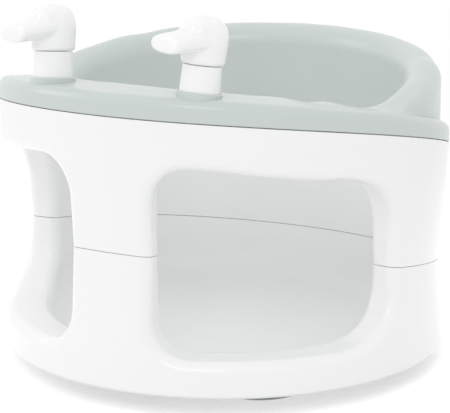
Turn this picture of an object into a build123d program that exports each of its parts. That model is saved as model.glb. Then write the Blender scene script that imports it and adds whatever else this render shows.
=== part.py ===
# Baby bath ring: a double-walled white ring with two leg openings and a seat floor, a pale green
# deck that rises into a backrest, two duck heads that turn on posts, and four suction cups below.
#
# Frame: origin on the ground under the ring's centre, +Z up, -Y to the front (the pillar between
# the leg openings), +X to the right seen from the front. An azimuth is measured from the front
# towards +X. Units are millimetres.

from build123d import *
import os
from math import atan2, cos, degrees, exp, radians, sin, sqrt, tan

# Outer form of the white ring
ring_r = 180.0            # outer radius at the rim and at the foot
waist_r = 174.0           # outer radius at the seam between the two shells
foot_z = 15.0             # underside of the ring above the ground
foot_round = 3.0          # rounding of the foot's outer edge
seam_front_z = 120.0      # height of the seam at the front and at the back
seam_back_z = 65.0
rim_front_z = 223.0       # height of the rim line at the front, the sides and the back
rim_side_z = 192.7
rim_back_z = 144.4

# Well that the child sits in
well_r = 146.0            # inner radius at the floor and at the rim
well_waist_r = 149.5      # inner radius at the seam
floor_z = 26.0            # top of the seat floor
floor_round = 28.0        # radius between the floor and the wall

# Walls and joints
wall = 3.0                # wall of the two white shells
ring_wall = 2.6           # wall of the green ring
seam_gap = 0.35           # open line between the two shells
rim_gap = 0.8             # open line under the green ring
skirt_drop = 6.0          # how far the green ring's inner skirt hangs into the well
skirt_gap = 0.35          # the skirt's foot clears the well's wall
lip_gap = 0.6             # the white lip inside the green flange clears it
lip_h = 3.8               # and stands this high above the rim line
rib_w = 2.4               # thickness of every stiffening rib

# Leg openings, from the front pillar to the side
pillar_az = 11.8          # azimuth of the opening's edge at the front pillar
side_az = 77.8            # azimuth of the opening's edge at the side
sill_z = 42.0             # bottom of the opening
head_front_z = 186.0      # top of the opening near the pillar and near the side
head_side_z = 174.0
corner_az = 9.7           # width of the corners at the pillar
low_corner_az = 17.8      # width of the lower corner at the side
high_corner_az = 18.8     # width of the upper corner at the side
corner_h = 30.0           # height of the corners at the pillar
low_corner_h = 42.0       # height of the lower corner at the side
high_corner_h = 47.0      # height of the upper corner at the side
edge_round = 9.0          # rolled edge of the openings, outside and inside

# Green deck and backrest
deck_rise = 17.0          # deck above the rim line
shoulder_r = 7.5          # rounding between the flange and the deck
deck_in_r = 134.0         # inner radius at the deck
back_in_r = 142.8         # inner radius at the backrest
deck_lip_r = 5.0          # rounding of the deck's inner edge
back_side_z = 226.6       # top of the backrest beside the ring's middle
back_top_z = 248.3        # top of the backrest at the back
back_bow = 9.0            # how far the top line bows above its chord
back_round_out = 14.0     # rounding of the backrest's top, outside
wing_start_az = 62.0      # azimuths between which the deck turns into the backrest
wing_full_az = 95.0
ring_step = 10            # azimuth between the sections that shape the green ring
saddle = 5.0              # softness of the dip where the backrest starts

# Ducks
post_x = 64.0             # place of the posts on the deck
post_y = -145.0
lean_back = 7.0           # lean of the posts in degrees
lean_out = 3.4
boss_r = 17.0             # raised ring round each post
boss_h = 3.0
boss_round = 1.0
boss_seat = 0.6           # the post's seat above the deck
post_foot_r = 15.2        # post, at the deck and at the neck
post_neck_r = 14.3
post_wall = 2.4
neck_h = 22.5             # neck seam above the deck
neck_gap = 0.35
post_gap = 0.6            # open ring between the boss and the post
plug_r = 12.3             # snap plug under the post
plug_len = 11.0
snap_bead = 1.0
snap_gap = 0.2            # play of the snap plug under the deck
boss_depth = 5.0          # the boss reaches this far below the deck, square to the post
plug_slot_w = 2.0
spigot_r = 8.0            # journal that carries the head
spigot_h = 13.0
journal_gap = 0.08        # running clearance of the head on the journal, around and along it
axial_gap = 0.1
head_r = 17.0
head_h = 35.0             # head above the neck seam
bill_reach = 35.0         # bill tip from the post's axis
bill_w = 33.0
bill_tip_h = 9.2
bill_az = -25.0           # where both bills point at rest, from the front
bill_root_h = 13.0        # height of the bill at its root, and its middle above the neck
bill_root_z = 16.5
bill_tip_z = 11.5
bill_tip_round = 2.4
bill_waist = 1.4          # the bill is this much narrower between its root and its tip
bill_fullness = 0.8       # how square the ends of the oval are
collar_in = 0.8           # the head draws in over its lowest part
collar_h = 3.2
dome_rise = 1.06          # height of the dome as a share of its radius
brow_x = 6.4              # the two soft bumps over the bill
brow_reach = 8.6
brow_z = 23.0
brow_r = 8.8
washer_r = 4.6
washer_t = 0.8

# Suction cups
cup_circle_r = 105.0
cup_r = 35.0
cup_lip = 1.2
cup_hollow_h = 8.0        # depth of the cup
neck_r = 7.2
stud_r = 9.6
stud_h = 4.2
stud_gap = 1.2            # room round the stud and round the neck in the socket
neck_play = 0.2
socket_r = 16.0
socket_plate = 3.0
socket_z = 13.0           # underside of the sockets

floor_ribs = 12           # stiffening ribs under the floor
floor_rib_h = 6.0
hub_rib_r = 40.0

# Screws
screw_r = 1.75
screw_head_r = 3.6
screw_head_h = 2.4
screw_len = 13.0
screw_bore_r = 2.1        # clearance hole
pilot_gap = 0.05
screw_boss_r = 4.6
shell_screw_az = [0, 92, 122, 156]       # azimuths on the right side; the left side mirrors them
ring_screw_az = [5.6, 99, 137, 180]
ring_boss_r = 160.0       # radius of the circle that the ring screws stand on

# Worked-out values
seam_slope = (seam_back_z - seam_front_z) / (2 * waist_r)
seam_mid_z = (seam_front_z + seam_back_z) / 2
rim_slope = (rim_back_z - rim_front_z) / (2 * ring_r)
rim_bow = rim_side_z - (rim_front_z + rim_back_z) / 2
opening_mid_az = (pillar_az + side_az) / 2
shell_screw_r = (waist_r + well_waist_r) / 2
loft_top_z = rim_side_z + deck_rise
flare = (loft_top_z - seam_mid_z) / (rim_side_z - seam_mid_z)
big = 2.5 * ring_r
back_crest_r = ring_r - shoulder_r - back_round_out
on_base = (Align.CENTER, Align.CENTER, Align.MIN)


# Curves that several pieces share

def rim_z(y):
    """Height of the rim surface, a parabola seen from the side."""
    u = y / ring_r
    return rim_side_z + rim_slope * y - rim_bow * u * u


def seam_z(y):
    return seam_mid_z + seam_slope * y


def at(radius, az, z=0.0):
    """Point at a radius and an azimuth."""
    return Vector(radius * sin(radians(az)), -radius * cos(radians(az)), z)


def plan_circle(radius, mid_z, slope):
    """Closed edge that is a circle seen from above and lies on a plane that slopes along Y."""
    plane = Plane(origin=(0, 0, mid_z), x_dir=(1, 0, 0), z_dir=(0, -slope, 1))
    if slope == 0:
        return Wire([Edge.make_circle(radius, plane=plane)])
    return Wire([Edge.make_ellipse(radius, radius * sqrt(1 + slope * slope), plane=plane)])


def under_rim(offset, height=big):
    """Block below the rim surface, moved up by an offset."""
    reach = 1.3 * ring_r
    front = Vector(0, -reach, rim_z(-reach) + offset)
    back = Vector(0, reach, rim_z(reach) + offset)
    middle = Vector(0, 0, rim_side_z + rim_bow * (reach / ring_r) ** 2 + offset)
    low = Vector(0, 0, height)
    outline = Wire([
        Edge.make_bezier(front, middle, back),
        Edge.make_line(back, back - low),
        Edge.make_line(back - low, front - low),
        Edge.make_line(front - low, front),
    ])
    return extrude(Face(outline), amount=reach, dir=(1, 0, 0), both=True)


def seam_block(offset, up):
    """Block above or below the seam plane, moved by an offset."""
    plane = Plane(origin=(0, 0, seam_mid_z + offset), x_dir=(1, 0, 0), z_dir=(0, -seam_slope, 1))
    return plane * Box(big, big, big, align=(Align.CENTER, Align.CENTER, Align.MIN if up else Align.MAX))


# White shells

def outer_form(upper, inset):
    """Solid bounded by the outer wall of one shell, moved inwards by an inset."""
    waist = plan_circle(waist_r - inset, seam_mid_z, seam_slope)
    if upper:
        top_r = waist_r + (ring_r - waist_r) * flare
        return Solid.make_loft([waist, plan_circle(top_r - inset, loft_top_z, rim_slope)], True)
    low_z = 0.0 if inset else foot_z
    return Solid.make_loft([plan_circle(ring_r - inset, low_z, 0), waist], True)


def well_form(upper, inset):
    """The hollow of the well in one shell, moved outwards by an inset."""
    waist = plan_circle(well_waist_r + inset, seam_mid_z, seam_slope)
    if upper:
        top_r = well_waist_r + (well_r - well_waist_r) * flare
        return Solid.make_loft([waist, plan_circle(top_r + inset, loft_top_z, rim_slope)], True)
    bottom = plan_circle(well_r + inset, floor_z - inset, 0)
    well = Solid.make_loft([bottom, waist], True)
    return well.fillet(floor_round + inset, [well.edges().sort_by(Axis.Z)[0]])


def opening_form(inset):
    """The right leg opening: a soft-cornered outline that narrows towards the ring's axis."""
    grow = degrees(inset / shell_screw_r)
    left, right = pillar_az - grow, side_az + grow
    kappa = 0.5523
    near, far = ring_r / 2, 1.3 * ring_r

    def outline(distance):
        plane = Plane(origin=at(distance, opening_mid_az),
                      x_dir=(cos(radians(opening_mid_az)), sin(radians(opening_mid_az)), 0),
                      z_dir=at(1, opening_mid_az))

        def place(az, z):
            return Vector(distance * tan(radians(az - opening_mid_az)), z, 0)

        def bezier(*points):
            return Edge.make_bezier(*[plane.from_local_coords(p) for p in points])

        def corner(start, end, tip):
            return bezier(start, start + (tip - start) * kappa, end + (tip - end) * kappa, end)

        def bowed(start, end, tip_a, tip_b):
            third = (end - start).length / 3
            return bezier(start, start + (start - tip_a).normalized() * third,
                          end + (end - tip_b).normalized() * third, end)

        low, high_a, high_b = sill_z - inset, head_front_z + inset, head_side_z + inset
        slope = (high_b - high_a) / (side_az - pillar_az)
        left_low = place(left, low + corner_h)
        left_high = place(left, high_a - corner_h)
        top_left = place(left + corner_az, high_a)
        top_right = place(right - high_corner_az, high_b)
        right_high = place(right, high_b - high_corner_h)
        right_low = place(right, low + low_corner_h)
        bottom_right = place(right - low_corner_az, low)
        bottom_left = place(left + corner_az, low)
        tip_tl = place(left, high_a - slope * corner_az / 4)
        tip_tr = place(right, high_b + 1.6 * slope * high_corner_az / 2)
        tip_br = place(right, low)
        tip_bl = place(left, low)
        return Wire([
            bezier(left_low, left_high),
            corner(left_high, top_left, tip_tl),
            bowed(top_left, top_right, tip_tl, tip_tr),
            corner(top_right, right_high, tip_tr),
            bezier(right_high, right_low),
            corner(right_low, bottom_right, tip_br),
            bezier(bottom_right, bottom_left),
            corner(bottom_left, left_low, tip_bl),
        ])

    return Solid.make_loft([outline(near), outline(far)], True)


def opening_edges(body, upper):
    """Edges that the leg openings make with the outer and the inner wall of one shell."""
    found = []
    for edge in body.edges():
        middle = edge @ 0.5
        az = abs(degrees(atan2(middle.X, -middle.Y)))
        on_seam = all(abs((edge @ t).Z - seam_z((edge @ t).Y)) < 0.01 for t in (0.0, 0.5, 1.0))
        radius = sqrt(middle.X ** 2 + middle.Y ** 2)
        between_walls = well_waist_r + wall < radius < waist_r - wall
        if not pillar_az - 3 < az < side_az + 3 or on_seam or between_walls:
            continue
        low, high = sill_z - corner_h / 2, head_front_z + corner_h / 2
        if low < middle.Z < min(high, rim_z(middle.Y) - corner_h / 3) and edge.length < ring_r:
            found.append(edge)
    return found


def shell_form(upper, inset):
    """Right half of one shell as a solid: wall to wall, with the leg opening and its rolled edges."""
    body = outer_form(upper, inset) - well_form(upper, inset) - left_block(2 * wall + inset)
    body = body - opening_form(inset)
    if upper:
        body = body & under_rim(-inset)
    body = body.solid()
    return body.fillet(edge_round - inset, opening_edges(body, upper))


def left_block(extra=0.0):
    """Block that cuts the left half away, all but an extra strip beside the middle plane."""
    return Pos(-extra, 0, 0) * Box(big, 2 * big, 2 * big, align=(Align.MAX, Align.CENTER, Align.CENTER))


def both_halves(body):
    """The finished piece: its right half and the mirror image of it."""
    body = body - left_block()
    return (body + body.mirror(Plane.YZ)).solid()


def both_sides(angles):
    """Azimuths on the right and their mirror images, with those on the middle plane once."""
    return [turn for az in angles for turn in ((az,) if az % 180 == 0 else (az, -az))]


def seam_frame(az):
    """Local frame on the seam, where a shell screw stands."""
    spot = at(shell_screw_r, az)
    return Plane(origin=(spot.X, spot.Y, seam_z(spot.Y)), x_dir=(1, 0, 0), z_dir=(0, -seam_slope, 1))


def rim_frame(az):
    """Local frame on the rim surface, where a ring screw stands."""
    spot = at(ring_boss_r, az)
    slope = rim_slope - 2 * rim_bow * spot.Y / ring_r ** 2
    return Plane(origin=(spot.X, spot.Y, rim_z(spot.Y)), x_dir=(1, 0, 0), z_dir=(0, -slope, 1))


def rod(frame, radius, low, high):
    """Round bar along a frame's axis, between two heights."""
    return frame * Pos(0, 0, low) * Cylinder(radius, high - low, align=(Align.CENTER, Align.CENTER, Align.MIN))


def radial_rib(az, low, high):
    """Upright plate across the ring's hollow at an azimuth."""
    spot = at(shell_screw_r, az, (low + high) / 2)
    return Pos(spot) * Rot(0, 0, az) * Box(rib_w, ring_r / 2, high - low)


def make_upper_shell():
    body, hollow = shell_form(True, 0.0), shell_form(True, wall)
    body = body - hollow - seam_block(seam_gap, False)
    bores = []
    for az in shell_screw_az:
        base = seam_z(at(shell_screw_r, az).Y)
        rib = radial_rib(az, base - wall, base + 2.2 * screw_len) & seam_block(seam_gap, True)
        body = body + ((rib + rod(seam_frame(az), screw_boss_r, 0, screw_len + wall)) & hollow)
        bores.append(rod(seam_frame(az), screw_r + pilot_gap, -wall, screw_len - wall + 1))
    for az in ring_screw_az:
        bores.append(rod(rim_frame(az), screw_bore_r, -2 * wall, wall))
    # raised lip that centres the green ring's flange
    lip_out = ring_r - ring_wall - lip_gap
    lip = Pos(0, 0, rim_back_z) * (Cylinder(lip_out, big) - Cylinder(lip_out - wall, big))
    lip = (lip & (under_rim(lip_h) - under_rim(-wall))) - left_block(wall)
    return both_halves((body + lip).cut(*bores))


def cup_spots():
    """Names and centres of the four suction cups."""
    spots = {}
    for y_name, y_sign in (("front", -1), ("rear", 1)):
        for x_name, x_sign in (("left", -1), ("right", 1)):
            reach = cup_circle_r / sqrt(2)
            spots[f"cup_{y_name}_{x_name}"] = (x_sign * reach, y_sign * reach)
    return spots


def make_lower_shell():
    body = shell_form(False, 0.0)
    foot_edge = [e for e in body.edges() if all(abs((e @ t).Z - foot_z) < 0.01 for t in (0.3, 0.7))
                 and sqrt((e @ 0.5).X ** 2 + (e @ 0.5).Y ** 2) > ring_r - 1]
    body = body.fillet(foot_round, foot_edge)
    body = body - (shell_form(False, wall) & seam_block(-wall, False))
    # stiffening ribs and cup sockets under the floor
    under = floor_z - wall
    rib_low, cavity_low = under - floor_rib_h, socket_z + socket_plate
    rib_len = well_r - floor_round - hub_rib_r + rib_w
    hub = Cylinder(hub_rib_r, floor_rib_h, align=on_base) - Cylinder(hub_rib_r - rib_w, floor_rib_h, align=on_base)
    ribs, cuts = Pos(0, 0, rib_low) * hub, []
    for index in range(floor_ribs):
        az = 360 / floor_ribs * index
        spot = at(hub_rib_r - rib_w / 2 + rib_len / 2, az, rib_low + floor_rib_h / 2)
        ribs = ribs + Pos(spot) * Rot(0, 0, az) * Box(rib_w, rib_len, floor_rib_h)
    for x, y in cup_spots().values():
        ribs = ribs + Pos(x, y, socket_z) * Cylinder(socket_r, under - socket_z, align=on_base)
        cuts.append(Pos(x, y, cavity_low) * Cylinder(stud_r + stud_gap, under - cavity_low, align=on_base))
        cuts.append(Cylinder(neck_r + neck_play, cavity_low, align=on_base).moved(Location((x, y, 0))))
    body = body + (ribs - left_block(wall))
    for az in shell_screw_az:
        cuts.append(rod(seam_frame(az), screw_bore_r, -2 * wall, wall))
    return both_halves(body.cut(*cuts))


# Green deck and backrest

def smooth(value, low, high):
    """Soft step from 0 to 1 between two limits."""
    u = min(max((value - low) / (high - low), 0.0), 1.0)
    return u * u * (3 - 2 * u)


def deck_z(az):
    """Height of the deck at an azimuth; it is level along each radius."""
    return rim_z(-ring_r * cos(radians(az))) + deck_rise


def crest_z(az):
    """Top line of the ring: the deck, then the backrest, with a soft dip between them."""
    y = -back_crest_r * cos(radians(az))
    u = y / back_crest_r
    wing = back_side_z + (back_top_z - back_side_z) * u + back_bow * u * (1 - u)
    deck = deck_z(az)
    return (wing + deck + sqrt((wing - deck) ** 2 + saddle ** 2)) / 2


def ring_section(az, inset):
    """Closed outline of the green ring's section at an azimuth, moved inwards by an inset.

    The outline of the flat deck turns step by step into the outline of the backrest. Both have the
    same curves: shoulder, wall, outer round, inner round.
    """
    turn = abs((az + 180) % 360 - 180)
    into_back = smooth(turn, wing_start_az, wing_full_az)
    in_r = deck_in_r + (back_in_r - deck_in_r) * smooth(turn, wing_start_az, wing_full_az + 10)
    deck, crest = deck_z(az), crest_z(az)
    rise = crest - deck
    wall_r = ring_r - shoulder_r
    round_h = (back_round_out - inset) * (1 - exp(-rise / back_round_out))
    crest_r = wall_r - back_round_out
    round_in = crest_r - in_r
    base = rim_back_z - deck_rise - inset
    kappa = 0.5523

    # handles on both sides of the wall's top keep one ratio, so the blend stays smooth there
    wall_handle = (rise - round_h) / 3
    round_handle = kappa * round_h
    ratio = round_handle / wall_handle
    lip_r = in_r + deck_lip_r
    deck_third = (wall_r - lip_r) / 3
    flat_handle = min(deck_third / 3, deck_third / ratio)

    def mix(front, back):
        """Point of the section between the deck's outline and the backrest's outline."""
        return (front[0] + (back[0] - front[0]) * into_back, front[1] + (back[1] - front[1]) * into_back)

    top, lip, inner = deck - inset, deck_lip_r - inset, round_in - inset
    round_z = crest - inset - round_h
    knee_r = wall_r - deck_third
    out_r = wall_r - inset
    wall_foot = mix((wall_r, top), (out_r, top))
    wall_a = mix((wall_r - deck_third / 3, top), (out_r, top + wall_handle))
    wall_b = mix((knee_r + flat_handle, top), (out_r, round_z - wall_handle))
    wall_top = mix((knee_r, top), (out_r, round_z))
    round_a = mix((knee_r - flat_handle * ratio, top), (out_r, round_z + round_handle))
    round_b = mix((lip_r + kappa * lip, top), (crest_r + kappa * (back_round_out - inset), crest - inset))
    peak = mix((lip_r, top), (crest_r, crest - inset))
    lip_a = mix((lip_r - kappa * lip, top), (crest_r - kappa * inner, crest - inset))
    foot_r = in_r + inset
    lip_b = mix((foot_r, deck - deck_lip_r + kappa * lip), (foot_r, crest - round_in + kappa * inner))
    lip_end = mix((foot_r, deck - deck_lip_r), (foot_r, crest - round_in))
    flange_r, flange_z, shoulder = ring_r - inset, deck - shoulder_r, shoulder_r - inset
    flange_top = (flange_r, flange_z)
    shoulder_a = (flange_r, flange_z + kappa * shoulder)
    shoulder_b = (wall_foot[0] + kappa * shoulder, top)

    def curve(*points):
        return Edge.make_bezier(*[at(radius, az, z) for radius, z in points])

    def straight(start, end):
        third = ((end[0] - start[0]) / 3, (end[1] - start[1]) / 3)
        return curve(start, (start[0] + third[0], start[1] + third[1]),
                     (end[0] - third[0], end[1] - third[1]), end)

    return Wire([
        straight((flange_r, base), flange_top),
        curve(flange_top, shoulder_a, shoulder_b, wall_foot),
        curve(wall_foot, wall_a, wall_b, wall_top),
        curve(wall_top, round_a, round_b, peak),
        curve(peak, lip_a, lip_b, lip_end),
        straight(lip_end, (foot_r, base)),
        straight((foot_r, base), (flange_r, base)),
    ])


def ring_form(inset, extra_steps):
    """Right half of the ring as a solid, lofted from a little before the front to past the back."""
    extra = extra_steps * ring_step
    sections = [ring_section(az, inset) for az in range(-extra, 181 + extra, ring_step)]
    return Solid.make_loft(sections, False)


def duck_frame(side):
    """Local frame of a duck: origin on the deck, Z along the post, -Y towards the front."""
    radius, az = sqrt(post_x ** 2 + post_y ** 2), degrees(atan2(post_x, -post_y))
    axis = Vector(side * tan(radians(lean_out)), tan(radians(lean_back)), 1)
    return Plane(origin=(side * post_x, post_y, deck_z(az)), x_dir=Vector(0, 1, 0).cross(axis), z_dir=axis)


def make_top_ring():
    form, hollow = ring_form(0.0, 1), ring_form(ring_wall, 2)
    # the skirt hangs into the well and its foot reaches out to the well's wall
    foot = under_rim(ring_wall - skirt_drop) & Cylinder(well_r - skirt_gap, 2 * big)
    foot = (foot - Cylinder(deck_in_r, 2 * big)) & form
    middle_drum = Cylinder((well_r + ring_r) / 2 - 2 * wall, 2 * big)
    below = (under_rim(rim_gap) - middle_drum) + (under_rim(-skirt_drop) & middle_drum)
    body = (form - hollow) + foot - below

    frame = duck_frame(1)
    boss = Pos(0, 0, -boss_depth) * Cylinder(boss_r, boss_depth + boss_h, align=on_base)
    boss = boss.fillet(boss_round, [boss.edges().sort_by(Axis.Z)[-1]])
    body = body + frame * boss
    bores = [rod(frame, post_foot_r + post_gap, boss_seat, 2 * boss_h),
             rod(frame, plug_r + journal_gap, -2 * boss_depth, 2 * boss_h)]
    for az in ring_screw_az:
        base = rim_z(at(ring_boss_r, az).Y)
        rib = radial_rib(az, base + screw_len / 2, base + 2.4 * screw_len)
        body = body + ((rib + rod(rim_frame(az), screw_boss_r, 0, screw_len + wall)) & hollow)
        bores.append(rod(rim_frame(az), screw_r + pilot_gap, -wall, screw_len - wall + 1))
    return both_halves(body.cut(*bores))


# Ducks

def turned(*points):
    """Solid turned round the Z axis from an outline of (radius, height) points."""
    outline = Wire([Edge.make_line((a[0], 0, a[1]), (b[0], 0, b[1]))
                    for a, b in zip(points, points[1:] + points[:1])])
    return revolve(Face(outline), Axis.Z)


def make_post():
    """Hollow post with its snap plug below and the journal for the head on top."""
    catch = -boss_depth - snap_gap
    spigot_top = neck_h + spigot_h
    outer = turned(
        (0, boss_seat), (post_foot_r, boss_seat), (post_neck_r, neck_h), (spigot_r, neck_h),
        (spigot_r, spigot_top - 1), (spigot_r - 1, spigot_top), (0, spigot_top))
    plug = turned(
        (0, -plug_len), (plug_r - snap_bead, -plug_len), (plug_r + snap_bead, catch - snap_bead),
        (plug_r + snap_bead, catch), (plug_r, catch), (plug_r, boss_seat), (0, boss_seat))
    plug_core_r, spigot_core_r = plug_r - post_wall, spigot_r - post_wall
    core = turned(
        (0, -plug_len), (plug_core_r, -plug_len), (plug_core_r, neck_h - 2 * post_wall),
        (spigot_core_r, neck_h), (spigot_core_r, spigot_top - post_wall), (0, spigot_top - post_wall))
    body = outer + plug - core
    for angle in (0, 90):
        slot = Box(3 * plug_r, plug_slot_w, plug_len - boss_depth, align=on_base)
        body = body - Pos(0, 0, -plug_len) * Rot(0, 0, angle) * slot
    return body - Pos(0, 0, neck_h) * Cylinder(screw_bore_r, 3 * spigot_h)


def bill_section(reach, width, height, mid_z):
    """Full oval across the bill, of four Bezier edges."""
    handle_x, handle_z = width / 2 * bill_fullness, height / 2 * bill_fullness
    edges = []
    for sx, sz in ((1, 1), (-1, 1), (-1, -1), (1, -1)):
        side = Vector(sx * width / 2, -reach, mid_z)
        top = Vector(0, -reach, mid_z + sz * height / 2)
        points = [side, side + Vector(0, 0, sz * handle_z), top + Vector(sx * handle_x, 0, 0), top]
        edges.append(Edge.make_bezier(*(points if sx * sz > 0 else reversed(points))))
    return Wire(edges)


def make_head():
    """Duck head: a domed cap with two brow bumps and a broad flat bill to the front (-Y)."""
    dome_z = head_h - head_r * dome_rise
    collar_r = head_r - collar_in
    lip_r = post_neck_r - collar_in / 2
    side = Wire([
        Edge.make_line((0, 0, 0), (lip_r, 0, 0)),
        Edge.make_spline([(lip_r, 0, 0), (collar_r, 0, collar_h)], tangents=[(1, 0, 0.3), (0.02, 0, 1)]),
        Edge.make_spline([(collar_r, 0, collar_h), (head_r, 0, dome_z)], tangents=[(0.02, 0, 1), (0, 0, 1)]),
        Edge.make_spline([(head_r, 0, dome_z), (0, 0, head_h)], tangents=[(0, 0, 1), (-1, 0, 0)]),
        Edge.make_line((0, 0, head_h), (0, 0, 0)),
    ])
    head = revolve(Face(side), Axis.Z)
    for x in (-brow_x, brow_x):
        head = head + Pos(x, -brow_reach, brow_z) * Sphere(brow_r)
    mid_drop = (bill_root_h - bill_tip_h) / 4
    bill = Solid.make_loft([
        bill_section(1.0, bill_w, bill_root_h, bill_root_z),
        bill_section(bill_reach / 2, bill_w - bill_waist, bill_root_h - mid_drop, bill_root_z - mid_drop),
        bill_section(bill_reach, bill_w, bill_tip_h, bill_tip_z),
    ], False)
    head = head + bill.fillet(bill_tip_round, bill.faces().sort_by(Axis.Y)[0].edges())
    bore_h = spigot_h - neck_gap + axial_gap
    pilot_h = spigot_h - post_wall - axial_gap - washer_t - neck_gap + screw_len + 1
    head = head - Cylinder(spigot_r + journal_gap, bore_h, align=on_base)
    head = head - Cylinder(screw_r + pilot_gap, pilot_h, align=on_base)
    return Pos(0, 0, neck_h + neck_gap) * Rot(0, 0, bill_az) * head.solid()


def make_screw(length):
    """Pan-head screw pointing up, with the underside of its head at the origin."""
    head = Pos(0, 0, -screw_head_h) * Cylinder(screw_head_r, screw_head_h, align=on_base)
    head = head.fillet(screw_head_h / 3, [head.edges().sort_by(Axis.Z)[0]])
    drive = Pos(0, 0, -screw_head_h) * (Box(0.9, 4, 2.4) + Box(4, 0.9, 2.4))
    return head - drive + Cylinder(screw_r, length, align=on_base)


def make_head_fixings():
    """Washer and screw under the top of the post's journal."""
    seat = neck_h + spigot_h - post_wall - axial_gap
    washer = Cylinder(washer_r, washer_t, align=on_base) - Cylinder(screw_bore_r, washer_t, align=on_base)
    washer = Pos(0, 0, seat - washer_t) * washer
    screw = Pos(0, 0, seat - washer_t) * make_screw(screw_len)
    return washer, screw


# Suction cups and screws

def make_cup():
    """Soft cup with a thin lip, and a mushroom stud that sits in the socket."""
    top = socket_z
    plate_top = socket_z + socket_plate
    side = Wire([
        Edge.make_line((0, 0, cup_hollow_h), (0, 0, plate_top + stud_h)),
        Edge.make_line((0, 0, plate_top + stud_h), (stud_r - 1.6, 0, plate_top + stud_h)),
        Edge.make_line((stud_r - 1.6, 0, plate_top + stud_h), (stud_r, 0, plate_top + stud_h - 2.4)),
        Edge.make_line((stud_r, 0, plate_top + stud_h - 2.4), (stud_r, 0, plate_top)),
        Edge.make_line((stud_r, 0, plate_top), (neck_r, 0, plate_top)),
        Edge.make_line((neck_r, 0, plate_top), (neck_r, 0, top)),
        Edge.make_line((neck_r, 0, top), (neck_r + 5, 0, top)),
        Edge.make_spline([(neck_r + 5, 0, top), (cup_r * 0.72, 0, top * 0.62), (cup_r, 0, cup_lip)],
                         tangents=[(1, 0, -0.1), (1, 0, -1.1)]),
        Edge.make_line((cup_r, 0, cup_lip), (cup_r, 0, 0)),
        Edge.make_line((cup_r, 0, 0), (cup_r - 2.5, 0, 0)),
        Edge.make_spline([(cup_r - 2.5, 0, 0), (cup_r * 0.62, 0, cup_hollow_h * 0.8), (0, 0, cup_hollow_h)],
                         tangents=[(-1, 0, 0.9), (-1, 0, 0)]),
    ])
    return revolve(Face(side), Axis.Z)


def screw_group(frames):
    """Identical screws in one node, each pushed up through its wall."""
    return Compound([frame * Pos(0, 0, -wall) * make_screw(screw_len) for frame in frames])


def make_parts():
    parts = {
        "lower_shell": make_lower_shell(),
        "upper_shell": make_upper_shell(),
        "top_ring": make_top_ring(),
        "shell_screws": screw_group([seam_frame(az) for az in both_sides(shell_screw_az)]),
        "ring_screws": screw_group([rim_frame(az) for az in both_sides(ring_screw_az)]),
    }
    cup = make_cup()
    for name, (x, y) in cup_spots().items():
        parts[name] = Pos(x, y, 0) * cup
    post, head = make_post(), make_head()
    washer, screw = make_head_fixings()
    for side_name, side in (("left", -1), ("right", 1)):
        frame = duck_frame(side)
        parts[f"{side_name}_post"] = frame * post
        parts[f"{side_name}_duck_head"] = frame * head
        parts[f"{side_name}_head_washer"] = frame * washer
        parts[f"{side_name}_head_screw"] = frame * screw
    return parts


os.makedirs("parts", exist_ok=True)
for name, shape in make_parts().items():
    export_step(shape, f"parts/{name}.step")
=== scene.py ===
from math import copysign, cos, pi, radians, sin, tan

import bmesh
import bpy
from mathutils import Matrix, Vector


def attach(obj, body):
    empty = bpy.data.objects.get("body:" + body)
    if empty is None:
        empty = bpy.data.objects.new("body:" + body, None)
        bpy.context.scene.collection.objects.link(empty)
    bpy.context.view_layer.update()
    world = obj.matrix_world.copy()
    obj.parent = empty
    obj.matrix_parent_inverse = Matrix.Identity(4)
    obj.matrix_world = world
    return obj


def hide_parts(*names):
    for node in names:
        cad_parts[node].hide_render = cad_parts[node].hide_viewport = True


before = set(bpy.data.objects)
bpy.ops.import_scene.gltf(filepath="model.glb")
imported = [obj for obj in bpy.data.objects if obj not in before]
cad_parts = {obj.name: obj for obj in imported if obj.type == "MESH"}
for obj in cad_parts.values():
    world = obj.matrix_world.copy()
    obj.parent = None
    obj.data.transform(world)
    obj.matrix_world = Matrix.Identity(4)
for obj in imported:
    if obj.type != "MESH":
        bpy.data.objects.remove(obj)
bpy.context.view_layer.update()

# Camera: place, aim and lens were fitted to the photograph
CAMERA_AT = (0.76023, -1.29308, 0.47711)
CAMERA_TURN = 30.45          # degrees to the right of the front
CAMERA_PITCH = 13.44         # degrees below the horizon
CAMERA_ROLL = 0.16
LENS = 151.48
SENSOR_WIDTH = 36.0
CLIP_NEAR, CLIP_FAR = 0.05, 50.0

# Light: level of the world, then name, place, size and watts of each lamp
WORLD_LEVEL = 0.90
LAMP_TARGET = (0.0, 0.0, 0.13)
LAMPS = [
    ("key", (0.75, -2.2, 1.75), 0.9, 6.0),
    ("fill", (-2.2, -0.9, 1.3), 1.4, 6.0),
    ("back", (0.2, 1.8, 2.3), 1.2, 1.5),
]

# Floor: half its side, the glow that camera rays add to it and where it turns plain white
FLOOR_REACH = 9.0
FLOOR_GLOW = 0.50
FADE_START, FADE_END = 0.25, 0.9

# Colours, as linear values
WHITE = (0.94, 0.944, 0.942)
GREEN = (0.607, 0.663, 0.650)
RUBBER = (0.62, 0.68, 0.65)
STEEL = (0.55, 0.55, 0.56)
FLOOR = (0.88, 0.88, 0.88)
PLAIN_WHITE = (1, 1, 1, 1)

# Texture of the moulded surfaces: noise scales per metre, and depths in metres
CLOUD_SCALE = 14.0
GLOSS_SCALE = 30.0
GRAIN_SCALE = 1400.0
GRAIN_DEPTH = 0.0002
NOISE_LOW, NOISE_HIGH = 0.15, 0.85
BEVEL_SAMPLES = 6

# Ducks: place and lean of the posts, as in the CAD source
POST = (0.064, -0.145, 0.238121)
LEAN_OUT, LEAN_BACK = 3.4, 7.0
NECK_H = 0.02285
BILL_TURN = -25.0

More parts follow.
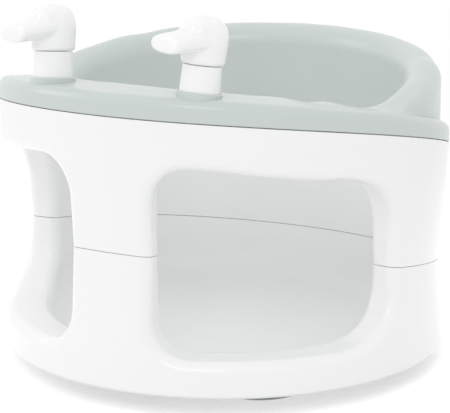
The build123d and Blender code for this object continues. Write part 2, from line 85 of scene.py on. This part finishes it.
# Sections of the bill in millimetres: reach, half width, half height, height of the middle
BILL = [
    (-6.0, 14.0, 8.6, 18.4), (4.0, 16.4, 8.6, 17.8),
    (12.0, 16.8, 8.2, 16.6), (20.0, 17.1, 7.7, 15.2),
    (28.0, 17.6, 7.2, 13.7), (33.0, 17.8, 6.8, 12.8),
    (34.8, 17.4, 6.1, 12.5), (35.4, 15.8, 4.8, 12.4),
]
BILL_SIDES = 48
BILL_SQUARE = 2.5            # exponent of each section: 2 is an ellipse, more is squarer
MM = 0.001

# Softening of the heads, in metres: the bore and the neck seam keep their form
WELD = 0.000002
VOXEL = 0.0007
BORE_R, BORE_TOP = 0.0095, 0.025
SEAM_H = 0.003               # height kept sharp, and height over which the softening sets in
SOFT_FACTOR = 0.5
SOFT_STEPS = 24


def linked(name, data):
    """A new object in the scene."""
    piece = bpy.data.objects.new(name, data)
    bpy.context.scene.collection.objects.link(piece)
    return piece


def add_camera():
    data = bpy.data.cameras.new("camera")
    data.sensor_fit = "HORIZONTAL"
    data.sensor_width = SENSOR_WIDTH
    data.lens = LENS
    data.clip_start, data.clip_end = CLIP_NEAR, CLIP_FAR
    camera = linked("camera", data)
    turn, pitch = radians(CAMERA_TURN), radians(CAMERA_PITCH)
    forward = Vector((-sin(turn) * cos(pitch), cos(turn) * cos(pitch), -sin(pitch)))
    right = Vector((cos(turn), sin(turn), 0.0))
    up = right.cross(forward)
    basis = Matrix((right, up, -forward)).transposed()
    roll = Matrix.Rotation(radians(CAMERA_ROLL), 3, forward)
    camera.matrix_world = Matrix.Translation(CAMERA_AT) @ (roll @ basis).to_4x4()
    bpy.context.scene.camera = camera


def add_lamp(name, place, size, watts):
    data = bpy.data.lights.new(name, "AREA")
    data.shape = "DISK"
    data.size = size
    data.energy = watts
    lamp = linked(name, data)
    lamp.location = place
    aim = Vector(LAMP_TARGET) - Vector(place)
    lamp.rotation_euler = aim.to_track_quat("-Z", "Y").to_euler()


def cleared(owner):
    """Nodes and links of a world or a material, with nothing in them."""
    owner.use_nodes = True
    owner.node_tree.nodes.clear()
    return owner.node_tree.nodes, owner.node_tree.links


def computed(nodes, links, operation, first, second):
    """Result of one sum on two outputs, or on an output and a number."""
    node = nodes.new("ShaderNodeMath")
    node.operation = operation
    links.new(first, node.inputs[0])
    if isinstance(second, float):
        node.inputs[1].default_value = second
    else:
        links.new(second, node.inputs[1])
    return node.outputs[0]


def seen_ray(nodes, links):
    """1 for rays that see the background: camera, glossy and transmission rays."""
    path = nodes.new("ShaderNodeLightPath").outputs
    first = computed(nodes, links, "MAXIMUM", path["Is Camera Ray"], path["Is Glossy Ray"])
    return computed(nodes, links, "MAXIMUM", first, path["Is Transmission Ray"])


def mixed(nodes, links, share, first, second):
    """Output of the first shader, or of the second by the given share."""
    mix = nodes.new("ShaderNodeMixShader")
    links.new(share, mix.inputs[0])
    links.new(first.outputs[0], mix.inputs[1])
    links.new(second.outputs[0], mix.inputs[2])
    return mix.outputs[0]


def plain(nodes, kind):
    """Plain white background or emission, of strength 1."""
    shader = nodes.new(kind)
    shader.inputs["Color"].default_value = PLAIN_WHITE
    return shader


def add_world():
    """White wherever a ray sees the background, and a softer level as light."""
    world = bpy.data.worlds.new("studio")
    bpy.context.scene.world = world
    nodes, links = cleared(world)
    soft = plain(nodes, "ShaderNodeBackground")
    soft.inputs["Strength"].default_value = WORLD_LEVEL
    white = plain(nodes, "ShaderNodeBackground")
    out = nodes.new("ShaderNodeOutputWorld")
    links.new(mixed(nodes, links, seen_ray(nodes, links), soft, white), out.inputs["Surface"])


def add_floor():
    """Pale floor that keeps the object's shadow and turns plain white away from it."""
    reach = FLOOR_REACH
    mesh = bpy.data.meshes.new("floor")
    corners = [(-reach, -reach, 0), (reach, -reach, 0), (reach, reach, 0), (-reach, reach, 0)]
    mesh.from_pydata(corners, [], [(0, 1, 2, 3)])
    floor = linked("floor", mesh)
    material = bpy.data.materials.new("floor_white")
    nodes, links = cleared(material)
    matt = nodes.new("ShaderNodeBsdfDiffuse")
    matt.inputs["Color"].default_value = (*FLOOR, 1)
    glow = plain(nodes, "ShaderNodeEmission")
    seen = seen_ray(nodes, links)
    links.new(computed(nodes, links, "MULTIPLY", seen, FLOOR_GLOW), glow.inputs["Strength"])
    near = nodes.new("ShaderNodeAddShader")
    links.new(matt.outputs[0], near.inputs[0])
    links.new(glow.outputs[0], near.inputs[1])
    place = nodes.new("ShaderNodeTexCoord")
    length = nodes.new("ShaderNodeVectorMath")
    length.operation = "LENGTH"
    links.new(place.outputs["Object"], length.inputs[0])
    fade = nodes.new("ShaderNodeMapRange")
    fade.interpolation_type = "SMOOTHSTEP"
    fade.inputs["From Min"].default_value = FADE_START
    fade.inputs["From Max"].default_value = FADE_END
    links.new(length.outputs["Value"], fade.inputs["Value"])
    away = computed(nodes, links, "MULTIPLY", fade.outputs["Result"], seen)
    far = plain(nodes, "ShaderNodeEmission")
    out = nodes.new("ShaderNodeOutputMaterial")
    links.new(mixed(nodes, links, away, near, far), out.inputs["Surface"])
    mesh.materials.append(material)


def noise(nodes, links, place, scale, detail):
    node = nodes.new("ShaderNodeTexNoise")
    node.inputs["Scale"].default_value = scale
    node.inputs["Detail"].default_value = detail
    links.new(place, node.inputs["Vector"])
    return node.outputs["Fac"]


def mapped(nodes, links, value, low, high):
    """A noise value spread over the range from low to high."""
    node = nodes.new("ShaderNodeMapRange")
    node.inputs["From Min"].default_value = NOISE_LOW
    node.inputs["From Max"].default_value = NOISE_HIGH
    node.inputs["To Min"].default_value = low
    node.inputs["To Max"].default_value = high
    links.new(value, node.inputs["Value"])
    return node.outputs["Result"]


def moulded(name, colour, rough, grain, edge=0.0006, tint=0.994, **sockets):
    """Surface with a faint cloudiness, uneven gloss, fine grain and softened edges."""
    material = bpy.data.materials.new(name)
    nodes, links = cleared(material)
    shader = nodes.new("ShaderNodeBsdfPrincipled")
    out = nodes.new("ShaderNodeOutputMaterial")
    links.new(shader.outputs[0], out.inputs["Surface"])
    place = nodes.new("ShaderNodeTexCoord").outputs["Object"]

    mix = nodes.new("ShaderNodeMix")
    mix.data_type = "RGBA"
    mix.inputs["A"].default_value = (*colour, 1)
    mix.inputs["B"].default_value = (*[tint * channel for channel in colour], 1)
    cloud = mapped(nodes, links, noise(nodes, links, place, CLOUD_SCALE, 1.0), 0.0, 1.0)
    links.new(cloud, mix.inputs["Factor"])
    links.new(mix.outputs["Result"], shader.inputs["Base Color"])
    gloss = mapped(nodes, links, noise(nodes, links, place, GLOSS_SCALE, 1.0), *rough)
    links.new(gloss, shader.inputs["Roughness"])

    bevel = nodes.new("ShaderNodeBevel")
    bevel.samples = BEVEL_SAMPLES
    bevel.inputs["Radius"].default_value = edge
    bump = nodes.new("ShaderNodeBump")
    bump.inputs["Strength"].default_value = grain
    bump.inputs["Distance"].default_value = GRAIN_DEPTH
    links.new(noise(nodes, links, place, GRAIN_SCALE, 2.0), bump.inputs["Height"])
    links.new(bevel.outputs["Normal"], bump.inputs["Normal"])
    links.new(bump.outputs["Normal"], shader.inputs["Normal"])
    for socket, value in sockets.items():
        shader.inputs[socket.replace("_", " ")].default_value = value
    return material


def add_materials():
    """Gives every CAD node its material, and returns the white one for the heads."""
    white = moulded("white_gloss", WHITE, rough=(0.17, 0.25), grain=0.03, IOR=1.50)
    green = moulded("sage_gloss", GREEN, rough=(0.21, 0.27), grain=0.03, tint=0.99, IOR=1.50)
    rubber = moulded("smoky_vinyl", RUBBER, rough=(0.30, 0.42), grain=0.08, tint=0.9,
                     IOR=1.52, Transmission_Weight=0.35)
    steel = moulded("zinc_steel", STEEL, rough=(0.28, 0.42), grain=0.05, edge=0.0002,
                    Metallic=1.0)
    for name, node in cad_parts.items():
        if "screw" in name or "washer" in name:
            material = steel
        elif name.startswith("cup_"):
            material = rubber
        elif name == "top_ring":
            material = green
        else:
            material = white
        if not node.material_slots:
            node.data.materials.append(material)
        for slot in node.material_slots:
            slot.material = material
    return white


def duck_matrix(side):
    """From a duck's own frame, on its neck seam with the bill to -Y, to the shared frame."""
    lean = (side * tan(radians(LEAN_OUT)), tan(radians(LEAN_BACK)), 1)
    up = Vector(lean).normalized()
    right = Vector((0, 1, 0)).cross(up).normalized()
    lean_turn = Matrix((right, up.cross(right), up)).transposed().to_4x4()
    place = Matrix.Translation((side * POST[0], POST[1], POST[2]))
    neck = Matrix.Translation((0, 0, NECK_H))
    return place @ lean_turn @ neck @ Matrix.Rotation(radians(BILL_TURN), 4, "Z")


def squared(value):
    """Moves a sine or cosine outwards, for sections squarer than an ellipse."""
    return copysign(abs(value) ** (2 / BILL_SQUARE), value)


def add_bill(mesh, matrix):
    """A full, tapering bill that grows out of the head, as one closed loft."""
    loops = []
    for reach, half_w, half_h, mid_z in BILL:
        loop = []
        for index in range(BILL_SIDES):
            angle = 2 * pi * index / BILL_SIDES
            x = squared(cos(angle)) * half_w
            z = squared(sin(angle)) * half_h + mid_z
            loop.append(mesh.verts.new(matrix @ (Vector((x, -reach, z)) * MM)))
        loops.append(loop)
    for first, second in zip(loops, loops[1:]):
        for index in range(BILL_SIDES):
            after = (index + 1) % BILL_SIDES
            mesh.faces.new((first[index], first[after], second[after], second[index]))
    mesh.faces.new(loops[0][::-1])
    mesh.faces.new(loops[-1])


def baked(piece):
    """The piece's mesh with its modifiers worked in."""
    graph = bpy.context.evaluated_depsgraph_get()
    graph.update()
    mesh = bpy.data.meshes.new_from_object(piece.evaluated_get(graph))
    piece.modifiers.clear()
    piece.data = mesh
    return mesh


def head_with_bill(node_name, matrix, name):
    """The head's CAD mesh with the bill added, still as two crossing bodies."""
    work = bmesh.new()
    work.from_mesh(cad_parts[node_name].data)
    bmesh.ops.remove_doubles(work, verts=work.verts, dist=WELD)
    add_bill(work, matrix)
    bmesh.ops.recalc_face_normals(work, faces=work.faces)
    mesh = bpy.data.meshes.new(name)
    work.to_mesh(mesh)
    work.free()
    return linked(name, mesh)


def softness(place):
    """How far a point of the head gives way: none in the bore or at the neck seam."""
    if place.xy.length < BORE_R and place.z < BORE_TOP:
        return 0.0
    return min(max((place.z - SEAM_H) / SEAM_H, 0.0), 1.0)


def add_head(side_name, side, material):
    """The duck head with its bill, brows and dome run softly into one another."""
    node_name = side_name + "_duck_head"
    matrix = duck_matrix(side)
    head = head_with_bill(node_name, matrix, side_name + "_soft_head")
    remesh = head.modifiers.new("voxels", "REMESH")
    remesh.mode = "VOXEL"
    remesh.voxel_size = VOXEL
    mesh = baked(head)
    soft = head.vertex_groups.new(name="soft")
    back = matrix.inverted()
    for vertex in mesh.vertices:
        soft.add([vertex.index], softness(back @ vertex.co), "REPLACE")
    smooth = head.modifiers.new("soften", "SMOOTH")
    smooth.factor = SOFT_FACTOR
    smooth.iterations = SOFT_STEPS
    smooth.vertex_group = "soft"
    mesh = baked(head)
    head.vertex_groups.clear()
    mesh.polygons.foreach_set("use_smooth", [True] * len(mesh.polygons))
    mesh.materials.clear()
    mesh.materials.append(material)
    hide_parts(node_name)
    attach(head, side_name + "_head")


def main():
    add_camera()
    add_world()
    add_floor()
    for lamp in LAMPS:
        add_lamp(*lamp)
    white = add_materials()
    add_head("left", -1, white)
    add_head("right", 1, white)


main()
bpy.context.scene.view_settings.view_transform = "Standard"
